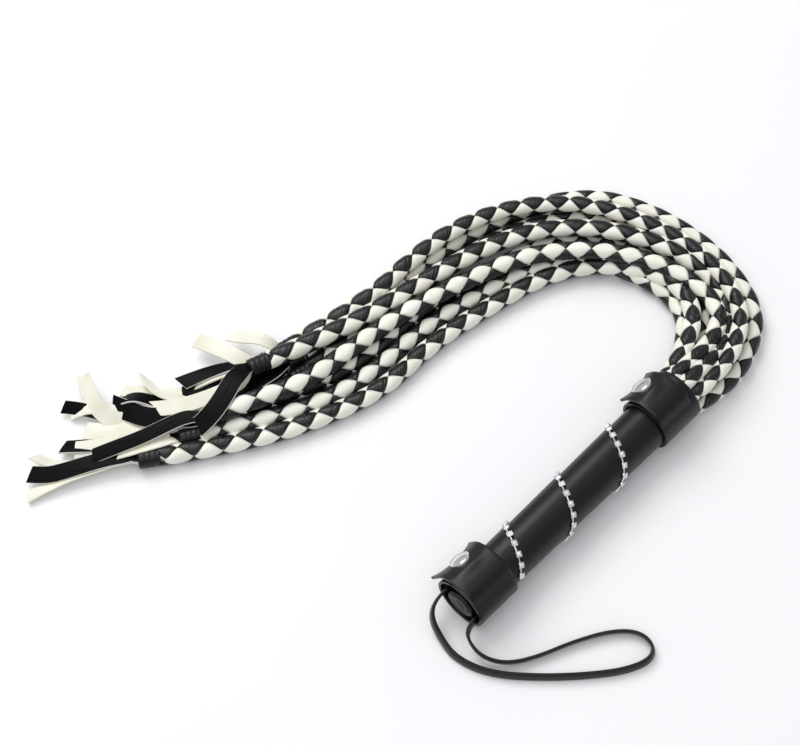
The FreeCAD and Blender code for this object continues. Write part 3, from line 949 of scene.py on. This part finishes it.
def binding(key):
    """Turns of leather lace round a tail's end."""
    start, along = tail_end(key)
    side = along.orthogonal().normalized()
    other = along.cross(side)
    segments, rings = 36, 48
    sections = []
    for i in range(rings + 1):
        part = i / rings
        close = min(1.0, part / 0.04, (1 - part) / 0.04)
        section = []
        for j in range(segments):
            a = 2 * math.pi * j / segments
            lay = (part * LACE_TURNS + j / segments) % 1.0
            ridge = math.sin(math.pi * lay) ** 0.5
            radius = (BINDING_R + LACE_RIDGE * ridge) * (0.86 + 0.14 * close) * MM
            out = side * math.cos(a) + other * math.sin(a)
            section.append(start + along * (part * BINDING_LENGTH - 0.6 * MM) + out * radius)
        sections.append(section)
    points, faces = closed_sweep(sections)
    piece = mesh_object("binding_" + key, points, faces, [BLACK], crease=60)
    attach(piece, "handle")
    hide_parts("tail_binding_" + key)
    return piece


def loose_strips(key, colour):
    """The two strips of one colour left loose past a tail's binding."""
    start, along = tail_end(key)
    root = start + along * (BINDING_LENGTH - STRIP_ROOT_DEPTH * MM)
    mouth = start + along * BINDING_LENGTH
    points, faces, slots, places = [], [], [], []
    widths = STRIP_WIDTHS.get(key, PLAIN_STRIP_WIDTHS)
    for i, (strip_colour, tilt0, tilt1, route) in enumerate(LOOSE_STRIPS[key]):
        if strip_colour != colour:
            continue
        offset = PAIR_OFFSET * (i - 1.5) / 1.5
        controls = [(root.x / MM, root.y / MM, root.z / MM - offset),
                    (mouth.x / MM, mouth.y / MM, mouth.z / MM - offset)] + route
        path = Path(smooth_line(controls))
        strip_points, strip_faces, strip_slots, strip_places = ribbon(
            path, widths[i] * MM, STRIP_T, (tilt0, tilt1),
            GATHER_LENGTH * MM, STRIP_SLANTS[i] * MM, STRIP_CUP * MM)
        first = len(points)
        points.extend(strip_points)
        faces.extend(tuple(first + n for n in face) for face in strip_faces)
        slots.extend(strip_slots)
        places.extend(strip_places)
    mats = [BLACK_STRIP_PAINTED_SHADE, STRIP_BACKING] if colour == "black" else [CREAM_STRIP, CREAM_STRIP]
    piece = mesh_object("strips_" + colour + "_" + key, points, faces, mats, True, slots, places, crease=40)
    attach(piece, "handle")
    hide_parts("tassel_" + colour + "_" + key)
    return piece


for key in TAIL_ROUTES:
    binding(key)
    loose_strips(key, "black")
    loose_strips(key, "cream")


# ---- wrist strap ---------------------------------------------------------------------------------
WRIST_ROUTE = [(-88, 7.5, 16), (-97, 8, 15), (-105, 4, 10.5), (-108.5, -7, 4.5), (-111, -21, 3),
               (-104, -41, 3), (-86, -62, 3), (-68, -79, 3), (-52, -91.5, 3), (-38, -97.5, 3),
               (-30, -93.5, 3), (-29.5, -82, 3), (-40, -70.5, 3), (-59, -60, 3), (-79, -52, 3),
               (-94, -43, 3.5), (-101.5, -31, 6), (-100.5, -20, 9.5), (-96, -15.5, 11.6),
               (-88, -14.8, 12.1)]
WRIST_TILTS = (74, 80)
wrist_path = Path(smooth_line(WRIST_ROUTE))


def wrist_strap():
    """A flat strap standing on its edge, both ends going in beside the butt disc."""
    points, faces, _, places = ribbon(wrist_path, WRIST_W, WRIST_T, WRIST_TILTS)
    return mesh_object("wrist_loop_strap", points, faces, [WRIST_LEATHER], True, None, places, crease=50)


wrist_piece = wrist_strap()


# ---- stage and light -----------------------------------------------------------------------------
FLOOR_HALF = 4.0
FLOOR_DROP = 0.2 * MM
WORLD_COLOUR = (0.95, 0.97, 1.0, 1.0)
WORLD_STRENGTH = 0.52
LIGHT_AIM = (0, 0.1, 0)


def make_stage():
    mesh = bpy.data.meshes.new("floor")
    corners = [(-FLOOR_HALF, -FLOOR_HALF, 0), (FLOOR_HALF, -FLOOR_HALF, 0),
               (FLOOR_HALF, FLOOR_HALF, 0), (-FLOOR_HALF, FLOOR_HALF, 0)]
    mesh.from_pydata(corners, [], [(0, 1, 2, 3)])
    mesh.materials.append(paper_floor("floor_paper"))
    floor = add_object("floor", mesh)
    floor.location.z = -FLOOR_DROP
    world = bpy.data.worlds.new("studio")
    world.use_nodes = True
    background = world.node_tree.nodes["Background"]
    background.inputs["Color"].default_value = WORLD_COLOUR
    background.inputs["Strength"].default_value = WORLD_STRENGTH
    bpy.context.scene.world = world
    bpy.context.scene.view_settings.view_transform = "Standard"


def soft_light(name, place, size, power):
    data = bpy.data.lights.new(name, "AREA")
    data.shape = "DISK"
    data.size = size
    data.energy = power
    lamp = add_object(name, data)
    lamp.location = place
    lamp.rotation_euler = (Vector(LIGHT_AIM) - lamp.location).to_track_quat("-Z", "Y").to_euler()


make_stage()
soft_light("key", (0.2, 1.35, 1.7), 1.4, 24.5)
soft_light("top", (-0.6, 0.0, 2.2), 2.6, 17.0)


# ---- braids and wrist strap: onto the handle, in place of their CAD parts --------------------------
def centreline(path):
    """Places along a cord, close enough together to give its length."""
    return path.at(np.linspace(0.0, path.length, 150))[0].tolist()


for key, piece in braids.items():
    path = tail_paths[key]
    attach(piece, "handle")
    if key == "a":
        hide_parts("tail_a", "tail_fan")
    else:
        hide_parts("tail_" + key)
    centreline(path)

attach(wrist_piece, "handle")
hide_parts("wrist_strap")
centreline(wrist_path)
